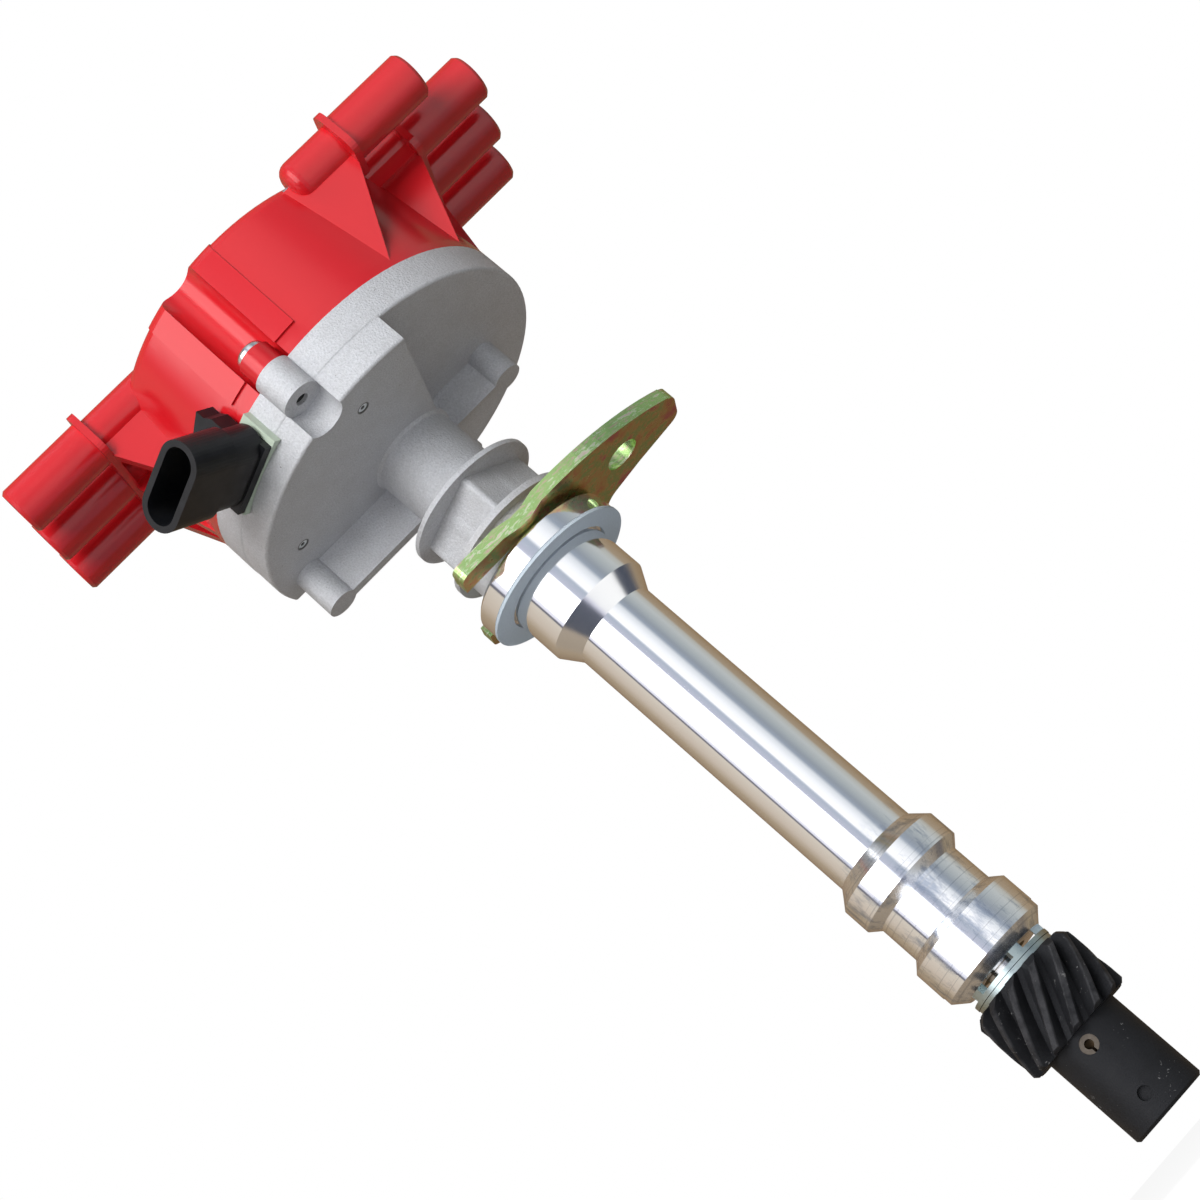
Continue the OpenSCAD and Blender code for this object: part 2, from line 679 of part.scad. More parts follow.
module sensor_connector() color([0.12, 0.12, 0.13]) {
    difference() {
        union() {
            rotate([0, 0, sensor_angle]) {
                translate([flange_x, flange_left, z_flange]) cube([flange_t, flange_w, flange_h]);
                translate([pass_x, -pass_w / 2 + 0.3, pass_low + 0.3])
                    cube([flange_x - pass_x + 1, pass_w - 0.6, z_joint - pass_low - 2]);
                translate([flange_x, 0, z_joint]) rotate([90, 0, 90]) linear_extrude(tongue_t) polygon([
                    [-9.5, -8], [9.5, -8], [9.5, 4.4], [8, 6.8], [8, 9.8], [-1, 7.4], [-8, 6.6], [-9.5, 4.4]]);
            }
            stadium(hood_w - 3, hood_h - 1, hood_x - 1, hood_x + 11);
            stadium(hood_w, hood_h, hood_x + 10, hood_x + hood_l);
        }
        stadium(hood_w - 2 * hood_wall, hood_h - 2 * hood_wall, hood_x + hood_l - hood_depth, hood_x + hood_l + 1);
    }
}

module connector_pins() color("goldenrod") {
    for (i = [-1, 0, 1]) rotate([0, 0, sensor_angle])
        translate([hood_x + hood_l - hood_depth, i * 5.5 - 0.8, z_hood - 0.8]) cube([5, 1.6, 1.6]);
}

module connector_seal() color([0.78, 0.8, 0.68]) {
    rotate([0, 0, sensor_angle]) difference() {
        translate([flange_x - 5, -seal_w / 2, z_flange - 0.2]) cube([5, seal_w, z_joint - z_flange - 0.1]);
        translate([0, 0, z_flange - 1]) cylinder(r = bowl_r + seal_gap, h = z_joint - z_flange + 2);
        translate([flange_x - 6, -pass_w / 2 + 0.3, pass_low + 0.3])
            cube([7, pass_w - 0.6, z_joint - pass_low - 2]);
    }
}

module hall_sensor() color([0.15, 0.15, 0.16]) {
    difference() {
        union() {
            rotate([0, 0, sensor_angle - 43]) rotate_extrude(angle = 86)
                translate([34, z_deep_floor]) square([deep_inner_r - 34.5, 3]);
            rotate([0, 0, sensor_angle]) translate([20, -8, z_deep_floor]) cube([26, 16, 3]);
            rotate([0, 0, sensor_angle]) translate([20, -6, z_deep_floor + 2]) cube([16, 12, z_shutter - z_deep_floor - 2.8]);
            rotate([0, 0, sensor_angle]) translate([40, -pass_w / 2 + 1, z_deep_floor + 2])
                cube([pass_x - 40, pass_w - 2, z_joint - z_deep_floor - 4]);
        }
        ring(shutter_r + 1.2, shutter_r - skirt_t - 1.2, z_deep_floor + 6, z_joint);
        for (side = [-1, 1]) at_polar(sensor_screw_r, sensor_angle + side * sensor_screw_spread)
            translate([0, 0, z_deep_floor - 1]) cylinder(d = sensor_screw_d, h = 6);
        boss_flute(boss_d / 2 + bowl_wall + 0.3);
    }
}

module sensor_screws() color("gainsboro") {
    for (side = [-1, 1]) at_polar(sensor_screw_r, sensor_angle + side * sensor_screw_spread) {
        translate([0, 0, z_deep + 0.3]) cylinder(d = sensor_screw_d, h = bowl_wall + 2.8);
        translate([0, 0, z_deep_floor + 3]) cylinder(d = 7, h = 2.4);
    }
}

// Rotor and shaft

module rotor() color([0.2, 0.18, 0.17]) {
    difference() {
        union() {
            translate([0, 0, z_rotor]) cylinder(r = rotor_base_r, h = rotor_base_t);
            translate([0, 0, z_rotor]) cylinder(r1 = rotor_hub_r + 1, r2 = rotor_hub_r, h = z_blade - z_rotor);
            translate([0, -6, z_blade - 6]) cube([blade_reach - 3, 12, 6]);
            translate([8, -2, z_rotor + 2]) cube([blade_reach - 13, 4, z_blade - z_rotor - 3]);
        }
        for (side = [-1, 1]) translate([0, side * 17, z_rotor - 1]) cylinder(d = 4, h = rotor_base_t + 2);
        translate([0, 0, z_rotor - 1]) cylinder(d = shaft_d + 1, h = 4);
    }
}

module rotor_blade() color("goldenrod") {
    translate([0, 0, z_blade]) cylinder(r = 6, h = blade_t);
    translate([0, -3.5, z_blade]) cube([blade_reach - 1, 7, blade_t]);
    intersection() {
        ring(blade_reach, blade_reach - 2, z_blade - 2, z_blade + blade_t);
        translate([0, -3.5, z_blade - 2]) cube([blade_reach + 1, 7, blade_t + 2]);
    }
}

module rotor_screws() color("gainsboro") {
    for (side = [-1, 1]) translate([0, side * 17, 0]) {
        translate([0, 0, z_plate]) cylinder(d = 4, h = plate_disc_t + rotor_base_t);
        translate([0, 0, z_rotor + rotor_base_t]) cylinder(d = 7.5, h = 2.4);
    }
}

module rotor_plate() color("slategray") {
    difference() {
        union() {
            translate([0, 0, z_plate]) cylinder(r = rotor_base_r - 0.5, h = plate_disc_t);
            translate([0, 0, z_rotor_hub]) cylinder(r = 10, h = z_plate - z_rotor_hub + 1);
        }
        translate([0, 0, z_rotor_hub - 1]) cylinder(d = shaft_d, h = 40);
        for (side = [-1, 1]) translate([0, side * 17, z_plate - 1]) cylinder(d = 4, h = plate_disc_t + 2);
    }
}

module shutter_wheel() color("darkgray") {
    ring(shutter_r, 10, z_shutter, z_plate);
    rotate_extrude(angle = 180) translate([shutter_r - skirt_t, z_skirt]) square([skirt_t, z_shutter - z_skirt + 0.5]);
}

module main_shaft() color("lightgray") {
    difference() {
        translate([0, 0, z_shaft_end]) cylinder(d = shaft_d, h = z_rotor - z_shaft_end);
        translate([-shaft_d, -pump_slot_w / 2, z_shaft_end - 1]) cube([2 * shaft_d, pump_slot_w, pump_slot_depth + 1]);
        rotate([0, 0, pin_angle]) translate([-shaft_d, 0, z_roll_pin]) rotate([0, 90, 0])
            cylinder(d = roll_pin_d, h = 2 * shaft_d);
    }
}

module oil_seal() color([0.2, 0.2, 0.2]) {
    ring(bushing_d / 2, bushing_bore_r, z_bushing_top, boss_top);
}

module upper_bushing() color("darkgoldenrod") {
    ring(bushing_d / 2, bushing_bore_r, z_bushing_top - bushing_l, z_bushing_top);
}

module lower_bushing() color("darkgoldenrod") {
    ring(bushing_d / 2, bushing_bore_r, z_end, z_end + bushing_l);
}

// Washers, gear and pin

module tanged_washer() color("lightsteelblue") {
    ring(washer_d / 2, bushing_bore_r + 0.4, z_washer_upper - washer_t, z_washer_upper);
    intersection() {
        ring(end_d / 2 - 0.1, end_d / 2 - 2.6, z_washer_upper - washer_t / 2, z_end);
        for (i = [0:tang_count - 1]) rotate([0, 0, pin_angle + 26 + i * 360 / tang_count])
            translate([0, -tang_w / 2, z_washer_upper - washer_t]) cube([washer_d, tang_w, tang_h + washer_t + 1]);
    }
}

module thrust_washer() color("lightsteelblue") {
    ring(washer_d / 2 - 0.2, bushing_bore_r, z_washer_lower - washer_t, z_washer_lower);
}

// Plan of the teeth: each tooth is a crest with flanks that fall to the root circle
module tooth_plan() {
    pitch = 360 / gear_teeth;
    r0 = gear_root_d / 2;
    r1 = gear_d / 2;
    polygon([for (i = [0:gear_teeth - 1], p = [
        [r0, -0.5], [r0, -0.36], [(r0 + r1) / 2, -0.25], [r1 - 0.3, -0.15], [r1, -0.1],
        [r1, 0.1], [r1 - 0.3, 0.15], [(r0 + r1) / 2, 0.25], [r0, 0.36]])
        [p[0] * cos(pitch * (i + p[1])), p[0] * sin(pitch * (i + p[1]))]]);
}

module drive_gear() color([0.17, 0.17, 0.18]) {
    twist = gear_w * tan(helix_angle) / (gear_d / 2) * 180 / PI;
    difference() {
        union() {
            intersection() {
                translate([0, 0, z_hub]) rotate([0, 0, tooth_phase])
                    linear_extrude(gear_w, twist = -twist, slices = 14) tooth_plan();
                rotate_extrude() polygon([
                    [0, z_hub - 1], [gear_d / 2 - 2.2, z_hub - 1], [gear_d / 2 + 0.2, z_hub + 1.2],
                    [gear_d / 2 + 0.2, z_gear - 2.2], [gear_d / 2 - 3, z_gear + 1], [0, z_gear + 1]]);
            }
            rotate_extrude() polygon([
                [0, z_hub_end], [hub_d / 2 - 0.8, z_hub_end], [hub_d / 2, z_hub_end + 0.8],
                [hub_d / 2, z_hub + 1], [0, z_hub + 1]]);
        }
        translate([0, 0, z_hub_end - 1]) cylinder(d = shaft_d, h = gear_w + hub_l + 2);
        rotate([0, 0, pin_angle]) translate([-hub_d, 0, z_roll_pin]) rotate([0, 90, 0])
            cylinder(d = roll_pin_d, h = 2 * hub_d);
        rotate([0, 0, pin_angle]) translate([hub_d / 2 - 1.5, 0, z_hub_end + 7]) rotate([0, 90, 0])
            cylinder(d = 4, h = 3);
    }
}

module roll_pin() color("dimgray") {
    rotate([0, 0, pin_angle]) translate([-hub_d / 2 + 0.4, 0, z_roll_pin]) rotate([0, 90, 0]) difference() {
        cylinder(d = roll_pin_d, h = hub_d - 0.8);
        translate([0, 0, -1]) cylinder(d = roll_pin_d / 2, h = hub_d + 2);
        translate([0, -0.4, -1]) cube([roll_pin_d, 0.8, hub_d + 2]);
    }
}

// Clamp and gasket

slot_r = clamp_neck_d / 2 + fork_gap;
fork_y = slot_r + fork_arm_w;

module clamp_plan() {
    difference() {
        polygon(concat(
            arc(-fork_l + 3, -fork_y + 3, 3, 180, 270, 6),
            arc(12, -fork_y + 76, 76, 270, 306, 12),
            arc(clamp_reach - 5, -9.2, 5, -54, 0, 6),
            arc(clamp_reach - 4, -1.6, 4, 0, 78, 6),
            [[42, 5.5]],
            arc(34, 15.5, 7, 245, 180, 6),
            arc(24, fork_y - 3, 3, 0, 90, 6),
            arc(-fork_l + 3, fork_y - 3, 3, 90, 180, 6)));
        circle(r = slot_r);
        translate([-fork_l - 1, -slot_r]) square([fork_l + 1, 2 * slot_r]);
        translate(bolt_place) circle(d = bolt_hole_d);
    }
}

module hold_down_clamp() color("darkkhaki") {
    z0 = z_collar + 0.25;
    z1 = z0 + fork_dip;
    intersection() {
        translate([0, 0, z0 - 1]) linear_extrude(clamp_t + fork_dip + 2) clamp_plan();
        translate([0, 60, 0]) rotate([90, 0, 0]) linear_extrude(120) polygon([
            [-40, z1], [-7, z1], [-1.5, z0], [2.5, z0], [8, z1], [80, z1],
            [80, z1 + clamp_t], [8, z1 + clamp_t], [2.5, z0 + clamp_t], [-1.5, z0 + clamp_t],
            [-7, z1 + clamp_t], [-40, z1 + clamp_t]]);
    }
}

module mounting_gasket() color("lightsteelblue") {
    ring(gasket_d / 2, pilot_d / 2 + gasket_gap, 0, gasket_t);
}

distributor_cap();
plug_terminals();
coil_terminal();
carbon_button();
button_spring();
cap_screws();
housing();
sensor_connector();
connector_seal();
connector_pins();
hall_sensor();
sensor_screws();
rotor();
rotor_blade();
rotor_screws();
rotor_plate();
shutter_wheel();
main_shaft();
oil_seal();
upper_bushing();
lower_bushing();
tanged_washer();
thrust_washer();
drive_gear();
roll_pin();
hold_down_clamp();
mounting_gasket();
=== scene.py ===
import math
import bpy
import numpy as np
from mathutils import Matrix, Vector


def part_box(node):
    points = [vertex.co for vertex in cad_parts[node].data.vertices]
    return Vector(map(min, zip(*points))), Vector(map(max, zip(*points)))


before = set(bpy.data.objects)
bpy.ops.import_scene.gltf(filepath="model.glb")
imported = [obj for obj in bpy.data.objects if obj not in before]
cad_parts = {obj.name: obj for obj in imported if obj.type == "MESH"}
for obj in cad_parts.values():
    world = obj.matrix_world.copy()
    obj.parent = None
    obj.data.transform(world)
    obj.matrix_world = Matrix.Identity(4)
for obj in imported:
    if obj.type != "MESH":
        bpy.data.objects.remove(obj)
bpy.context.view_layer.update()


# Studio. The distributor hangs over a plain white floor, seen from as low as the gear's end and
# rolled, so that the shaft runs from the upper left to the lower right. Three soft lamps light it,
# and painted walls beyond them show only in polished metal.

def wire(tree, kind, sockets=None, **settings):
    """Adds one shader node. A socket takes a value, or another node's output to link."""
    made = tree.nodes.new(kind)
    for name, value in settings.items():
        setattr(made, name, value)
    for name, value in (sockets or {}).items():
        socket = made.inputs[name]
        if isinstance(value, bpy.types.NodeSocket):
            tree.links.new(value, socket)
        else:
            socket.default_value = value
    return made


def maths(tree, operation, a, b=0.0, c=0.0):
    """One Math node's output: a, b and c are numbers or sockets."""
    return wire(tree, "ShaderNodeMath", {0: a, 1: b, 2: c}, operation=operation).outputs[0]


def fade(tree, value, low, high, to_low=0.0, to_high=1.0):
    """Runs from to_low to to_high while the value runs from low to high, and is flat outside them."""
    sockets = {"Value": value, "From Min": low, "From Max": high, "To Min": to_low, "To Max": to_high}
    return wire(tree, "ShaderNodeMapRange", sockets).outputs[0]


def blend(tree, factor, a, b):
    """Colour a where the factor is 0 and colour b where it is 1. Each is (r, g, b) or a socket, and
    goes into socket 6 or 7 of the Mix node, which has other pairs for numbers and vectors."""
    a, b = ((*colour, 1.0) if isinstance(colour, tuple) else colour for colour in (a, b))
    return wire(tree, "ShaderNodeMix", {0: factor, 6: a, 7: b}, data_type="RGBA").outputs[2]


def steps(tree, factor, stops):
    """A colour ramp's output, with stops of (position, (r, g, b))."""
    ramp = wire(tree, "ShaderNodeValToRGB", {0: factor})
    bar = ramp.color_ramp.elements
    while len(bar) < len(stops):
        bar.new(0.5)
    for element, (position, colour) in zip(bar, stops):
        element.position = position
        element.color = (*colour, 1.0)
    return ramp.outputs[0]


def position_on(tree):
    """Position in the object's own frame, in metres."""
    return wire(tree, "ShaderNodeTexCoord").outputs["Object"]


def height_of(tree, place):
    """The height of a position."""
    return wire(tree, "ShaderNodeSeparateXYZ", {0: place}).outputs["Z"]


def along(tree, place, direction):
    """How far a position lies along a direction."""
    product = wire(tree, "ShaderNodeVectorMath", {0: place, 1: direction}, operation="DOT_PRODUCT")
    return product.outputs["Value"]


def empty_material(name):
    """A new material with only its output node."""
    made = bpy.data.materials.new(name)
    made.use_nodes = True
    made.node_tree.nodes.clear()
    return made, made.node_tree, made.node_tree.nodes.new("ShaderNodeOutputMaterial")


def mesh_object(name, points, faces, material):
    """A new object of those points, in metres, and those faces, with that material."""
    mesh = bpy.data.meshes.new(name)
    mesh.from_pydata(points, [], faces)
    mesh.materials.append(material)
    made = bpy.data.objects.new(name, mesh)
    bpy.context.scene.collection.objects.link(made)
    return made


look = bpy.context.scene.view_settings
look.view_transform = "Standard"

# the viewer stands left of the front, looks up, and holds the camera rolled
turn = math.radians(9.5)
rise = math.radians(18.3)
swing = math.radians(0.222)
roll = math.radians(41.0021)
camera_place = (-0.1037, -0.6197, -0.22124)
up = Vector((0, 0, 1))
right = Vector((math.cos(turn), -math.sin(turn), 0))
away = Vector((math.sin(turn), math.cos(turn), 0))
ahead_level = math.cos(rise) * away + math.sin(rise) * up
below = math.sin(rise) * away - math.cos(rise) * up
ahead = math.sin(swing) * right + math.cos(swing) * ahead_level
across = math.cos(swing) * right - math.sin(swing) * ahead_level
picture_right = math.cos(roll) * below + math.sin(roll) * across
picture_up = math.cos(roll) * across - math.sin(roll) * below
lens = bpy.data.cameras.new("photo_camera")
lens.lens = 70.5
lens.sensor_width = 36
lens.clip_start = 0.01
camera = bpy.data.objects.new("photo_camera", lens)
bpy.context.scene.collection.objects.link(camera)
facing = Matrix((picture_right, picture_up, -ahead)).transposed().to_4x4()
camera.matrix_world = Matrix.Translation(camera_place) @ facing
bpy.context.scene.camera = camera

# the air is white where it is seen, and lights the object only a little
air_on_object = 0.07
world = bpy.data.worlds.new("studio_air")
bpy.context.scene.world = world
world.use_nodes = True
air = world.node_tree
air.nodes.clear()
ray = wire(air, "ShaderNodeLightPath")
seen = maths(air, "MAXIMUM", ray.outputs["Is Camera Ray"], ray.outputs["Is Glossy Ray"])
seen = maths(air, "MAXIMUM", seen, ray.outputs["Is Transmission Ray"])
strength = maths(air, "MULTIPLY_ADD", seen, 1 - air_on_object, air_on_object)
glow = wire(air, "ShaderNodeBackground", {"Color": (1, 1, 1, 1), "Strength": strength})
air.links.new(glow.outputs[0], wire(air, "ShaderNodeOutputWorld").inputs["Surface"])

# the floor is grey under the lamps, so that it keeps the shadow, and lifted to white in the picture
floor_z = -0.262
floor_reach = 6
floor_grey = (0.36, 0.36, 0.36, 1)
floor_lift = 0.9
floor_white, tree, out = empty_material("floor_white")
ray = wire(tree, "ShaderNodeLightPath")
lit = wire(tree, "ShaderNodeBsdfDiffuse", {"Color": floor_grey})
lift = maths(tree, "MULTIPLY", ray.outputs["Is Camera Ray"], floor_lift)
lifted = wire(tree, "ShaderNodeEmission", {"Color": (1, 1, 1, 1), "Strength": lift})
both = wire(tree, "ShaderNodeAddShader", {0: lit.outputs[0], 1: lifted.outputs[0]})
tree.links.new(both.outputs[0], out.inputs["Surface"])
corners = [(x * floor_reach, y * floor_reach, floor_z) for x, y in ((-1, -1), (1, -1), (1, 1), (-1, 1))]
floor = mesh_object("studio_floor", corners, [(0, 1, 2, 3)], floor_white)
floor.visible_glossy = False

# the walls are a ball that only reflections see, painted in three rings of colours
room_walls, tree, out = empty_material("room_walls")
place = position_on(tree)
height = height_of(tree, place)
bearing = maths(tree, "ARCTAN2", along(tree, place, right), along(tree, place, -away))
round_ring = maths(tree, "MULTIPLY_ADD", bearing, 1 / (2 * math.pi), 0.5)


def ring(tree, round_ring, stops):
    """Colours round the walls. A stop's degrees count from where the viewer stands, to the right."""
    return steps(tree, round_ring, [(degrees / 360 + 0.5, colour) for degrees, colour in stops])


tan_dark, tan, tan_pale = (0.25, 0.17, 0.105), (0.39, 0.30, 0.20), (0.67, 0.60, 0.51)
brown, brown_low, brown_steep = (0.30, 0.21, 0.12), (0.22, 0.17, 0.12), (0.26, 0.20, 0.14)
navy, dark_line = (0.045, 0.055, 0.085), (0.10, 0.10, 0.14)
white, window = (1.06, 1.06, 1.06), (3.2, 3.2, 3.25)
level_ring = ring(tree, round_ring, [
    (-170, tan_dark), (-126, tan), (-100, (0.58, 0.49, 0.40)), (-73, tan_pale),
    (-71.5, dark_line), (-68.5, dark_line), (-67, (0.84, 0.84, 0.95)), (-61, (0.92, 0.92, 1.0)),
    (-57, window), (-11, window), (-6, (0.52, 0.54, 0.66)), (9.5, (0.42, 0.48, 0.58)),
    (14, (1.15, 1.15, 1.18)), (30, (1.0, 1.02, 1.06)), (43, (0.74, 0.78, 0.83)),
    (50, (0.30, 0.35, 0.43)), (60, (0.27, 0.31, 0.36)), (74, (0.38, 0.42, 0.44)),
    (92, (0.49, 0.52, 0.52)), (106, (0.46, 0.46, 0.42)), (116, (0.36, 0.28, 0.19)),
    (150, brown), (175, tan_dark)])
low_ring = ring(tree, round_ring, [
    (-175, brown_low), (-76, (0.40, 0.33, 0.25)), (-70, navy), (-4, navy), (0, (0.55, 0.56, 0.72)),
    (7, (0.85, 0.85, 0.95)), (12, white), (76, white), (84, navy), (128, navy),
    (136, (0.33, 0.26, 0.17)), (175, brown_low)])
steep_ring = ring(tree, round_ring, [
    (-170, brown_steep), (-60, (0.34, 0.28, 0.21)), (-40, (0.15, 0.16, 0.22)), (-5, (0.17, 0.18, 0.25)),
    (5, (0.5, 0.52, 0.62)), (40, (0.62, 0.67, 0.72)), (80, (0.36, 0.35, 0.33)),
    (120, (0.30, 0.24, 0.17)), (170, brown_steep)])
low_from, low_fully = -0.35, -0.65
steep_from, steep_fully = 1.35, 1.7
is_low = fade(tree, height, low_from, low_fully)
is_steep = fade(tree, maths(tree, "ABSOLUTE", height), steep_from, steep_fully)
walls = blend(tree, is_steep, blend(tree, is_low, level_ring, low_ring), steep_ring)
shining = wire(tree, "ShaderNodeEmission", {"Color": walls, "Strength": 1.0})
tree.links.new(shining.outputs[0], out.inputs["Surface"])


def ball(name, radius, turns, levels, material):
    """Radius times (cos b cos a, cos b sin a, sin b), with a round the ball and b from pole to pole."""
    a, b = np.meshgrid(np.arange(turns) / turns * 2 * np.pi, np.linspace(-0.499, 0.499, levels) * np.pi)
    points = radius * np.stack([np.cos(b) * np.cos(a), np.cos(b) * np.sin(a), np.sin(b)], -1)
    i, j = np.meshgrid(np.arange(levels - 1), np.arange(turns), indexing="ij")
    first = (i * turns + j).ravel()
    second = (i * turns + (j + 1) % turns).ravel()
    faces = np.stack([first, second, second + turns, first + turns], -1)
    return mesh_object(name, points.reshape(-1, 3).tolist(), faces.tolist(), material)


room = ball("studio_room", radius=2.0, turns=72, levels=36, material=room_walls)
room.visible_camera = False
room.visible_diffuse = False
room.visible_transmission = False
room.visible_volume_scatter = False
room.visible_shadow = False


def soft_lamp(name, where, towards, size, power):
    """A square area lamp of that size, standing at one point and facing another."""
    lamp = bpy.data.lights.new(name, "AREA")
    lamp.size = size
    lamp.energy = power
    made = bpy.data.objects.new(name, lamp)
    bpy.context.scene.collection.objects.link(made)
    facing = (Vector(towards) - Vector(where)).to_track_quat("-Z", "Y")
    made.matrix_world = Matrix.Translation(where) @ facing.to_matrix().to_4x4()
    made.visible_glossy = False


lamps_aim = (0, 0, 0.05)
soft_lamp("lamp_over_viewer", (-0.55, -1.45, 0.55), lamps_aim, size=0.8, power=27)
soft_lamp("lamp_above", (-0.25, -0.5, 1.5), lamps_aim, size=0.7, power=8)
soft_lamp("lamp_behind", (0.1, 1.5, 0.8), lamps_aim, size=0.8, power=15)


# Housing. One aluminium casting, grainy down to its collar. Collar, pilot, tube and bands are
# turned bright afterwards, which leaves fine rings, and the bands are scuffed.

def dress(material, *nodes):
    """Gives CAD nodes their finish."""
    for node in nodes:
        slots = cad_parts[node].data.materials
        slots.clear()
        slots.append(material)


def surface(name, sockets):
    """A material of one principled shader, with the position on the piece. Feed links the rest."""
    made, tree, out = empty_material(name)
    shader = wire(tree, "ShaderNodeBsdfPrincipled", sockets)
    tree.links.new(shader.outputs[0], out.inputs["Surface"])
    return made, tree, shader, position_on(tree)


def feed(tree, shader, **sockets):
    """Links sockets of the shader, named with underscores for spaces."""
    for name, value in sockets.items():
        tree.links.new(value, shader.inputs[name.replace("_", " ")])


def speckle(tree, place, scale, detail=2.0, rough=0.5):
    """Even noise from 0 to 1, with that many grains a metre."""
    sockets = {"Vector": place, "Scale": scale, "Detail": detail, "Roughness": rough}
    return wire(tree, "ShaderNodeTexNoise", sockets).outputs[0]


def turning(tree, height, scale, detail):
    """Noise in height alone, so that it makes rings round an upright piece, as a lathe does."""
    sockets = {"W": height, "Scale": scale, "Detail": detail}
    return wire(tree, "ShaderNodeTexNoise", sockets, noise_dimensions="1D").outputs[0]


def stretched(tree, place, scale):
    """A position scaled along each axis, so that a pattern read there draws out along the small ones."""
    return wire(tree, "ShaderNodeMapping", {"Vector": place, "Scale": scale}).outputs[0]


def in_plan(tree, place):
    """A position without its height."""
    return wire(tree, "ShaderNodeVectorMath", {0: place, 1: (1, 1, 0)}, operation="MULTIPLY").outputs[0]


def facing_up(tree):
    """How far a face looks up, from -1 to 1: its normal's height, in the object's own frame."""
    return height_of(tree, wire(tree, "ShaderNodeTexCoord").outputs["Normal"])


def relief(tree, height, depth, after=None):
    """A bump of that depth in metres, over another bump if one is given."""
    sockets = {"Height": height, "Distance": depth, "Strength": 1.0}
    if after is not None:
        sockets["Normal"] = after
    return wire(tree, "ShaderNodeBump", sockets).outputs[0]


pickup_screw_circle = 0.0435
pickup_screw_angles = (190, 260)


def from_pickup_screws(tree, place):
    """Distance in plan from the nearer of the two pickup screws' axes, in metres."""
    flat = in_plan(tree, place)
    apart = []
    for angle in map(math.radians, pickup_screw_angles):
        axis = (pickup_screw_circle * math.cos(angle), pickup_screw_circle * math.sin(angle), 0)
        distance = wire(tree, "ShaderNodeVectorMath", {0: flat, 1: axis}, operation="DISTANCE")
        apart.append(distance.outputs["Value"])
    return maths(tree, "MINIMUM", *apart)


collar_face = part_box("mounting_gasket")[1][2]
collar_top = collar_face + 0.0071
housing_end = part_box("housing")[0][2]
bands_top = housing_end + 0.0462
scuffed_from, scuffed_fully = housing_end + 0.0512, housing_end + 0.0432
# painted shade round the pickup screws: full inside the first radius, gone beyond the second
hole_shade_inner, hole_shade_outer = 0.0019, 0.0023
grain_depth, ring_depth = 0.00030, 0.0000035
cast_dark, cast_pale, cast_stain = (0.40, 0.41, 0.43), (0.84, 0.85, 0.88), (0.52, 0.52, 0.53)
pore_grey, hole_shade_grey = (0.26, 0.25, 0.25), (0.16, 0.16, 0.16)
turned_bright, scuff_blue, ring_grey = (0.93, 0.935, 0.945), (0.46, 0.51, 0.60), (0.55, 0.57, 0.60)

cast_and_turned, tree, shader, place = surface("cast_and_turned_aluminium", {"Specular IOR Level": 0.3})
height = height_of(tree, place)
turned = fade(tree, height, collar_top + 0.0004, collar_top + 0.0001)
grain = speckle(tree, place, 1700, 3, 0.6)
cloud = speckle(tree, place, 150, 4, 0.6)
pores = fade(tree, speckle(tree, place, 900, 3, 0.6), 0.30, 0.25)
# painted shade: the casting is dark grey in and round the pickup screws' holes, between screw and casting
hole_shade = fade(tree, from_pickup_screws(tree, place), hole_shade_outer, hole_shade_inner)
cast = blend(tree, grain, cast_dark, cast_pale)
cast = blend(tree, fade(tree, cloud, 0.35, 0.65, 0.0, 0.35), cast, cast_stain)
cast = blend(tree, pores, cast, pore_grey)
cast = blend(tree, hole_shade, cast, hole_shade_grey)

scuff = fade(tree, speckle(tree, stretched(tree, place, (1, 1, 0.35)), 260, 5, 0.65), 0.49, 0.66)
scuff = maths(tree, "MULTIPLY", scuff, fade(tree, height, scuffed_from, scuffed_fully))
band_rings = fade(tree, turning(tree, height, 1300, 2), 0.60, 0.66)
band_rings = maths(tree, "MULTIPLY", band_rings, fade(tree, height, bands_top, bands_top - 0.0005))
bright = blend(tree, scuff, turned_bright, scuff_blue)
bright = blend(tree, maths(tree, "MULTIPLY", band_rings, 0.5), bright, ring_grey)

slope = fade(tree, maths(tree, "ABSOLUTE", facing_up(tree)), 0.06, 0.25)
scuffed_rough = maths(tree, "MULTIPLY_ADD", scuff, 0.14, 0.07)
turned_rough = maths(tree, "MAXIMUM", scuffed_rough, maths(tree, "MULTIPLY", slope, 0.19))
cast_grain = maths(tree, "MULTIPLY", grain, maths(tree, "SUBTRACT", 1.0, turned))
turned_rings = maths(tree, "MULTIPLY", turning(tree, height, 5200, 3), turned)
feed(tree, shader,
     Base_Color=blend(tree, turned, cast, bright),
     Roughness=fade(tree, turned, 0, 1, 0.60, turned_rough),
     Metallic=fade(tree, turned, 0, 1, 0.38, 0.95),
     Normal=relief(tree, turned_rings, ring_depth, relief(tree, cast_grain, grain_depth)))
dress(cast_and_turned, "housing")


# Bushings and lip seal. Two sintered bronze bushings are pressed into the housing and carry the
# shaft. A moulded rubber seal lies on the upper one and keeps the engine's oil out of the bowl.

def two_toned(name, sockets, dark, pale, scale, detail=2.0):
    """A finish whose colour wanders between two, with that many grains a metre."""
    made, tree, shader, place = surface(name, sockets)
    feed(tree, shader, Base_Color=blend(tree, speckle(tree, place, scale, detail), dark, pale))
    return made


bronze_dark, bronze_pale = (0.42, 0.27, 0.12), (0.60, 0.42, 0.22)
sintered = two_toned("sintered_bronze", {"Metallic": 1.0, "Roughness": 0.45},
                     bronze_dark, bronze_pale, scale=2500, detail=3)
dress(sintered, "upper_bushing", "lower_bushing")

rubber_dark, rubber_pale = (0.012, 0.012, 0.012), (0.03, 0.03, 0.03)
rubber = two_toned("seal_rubber", {"Roughness": 0.7}, rubber_dark, rubber_pale, scale=1800)
dress(rubber, "oil_seal")


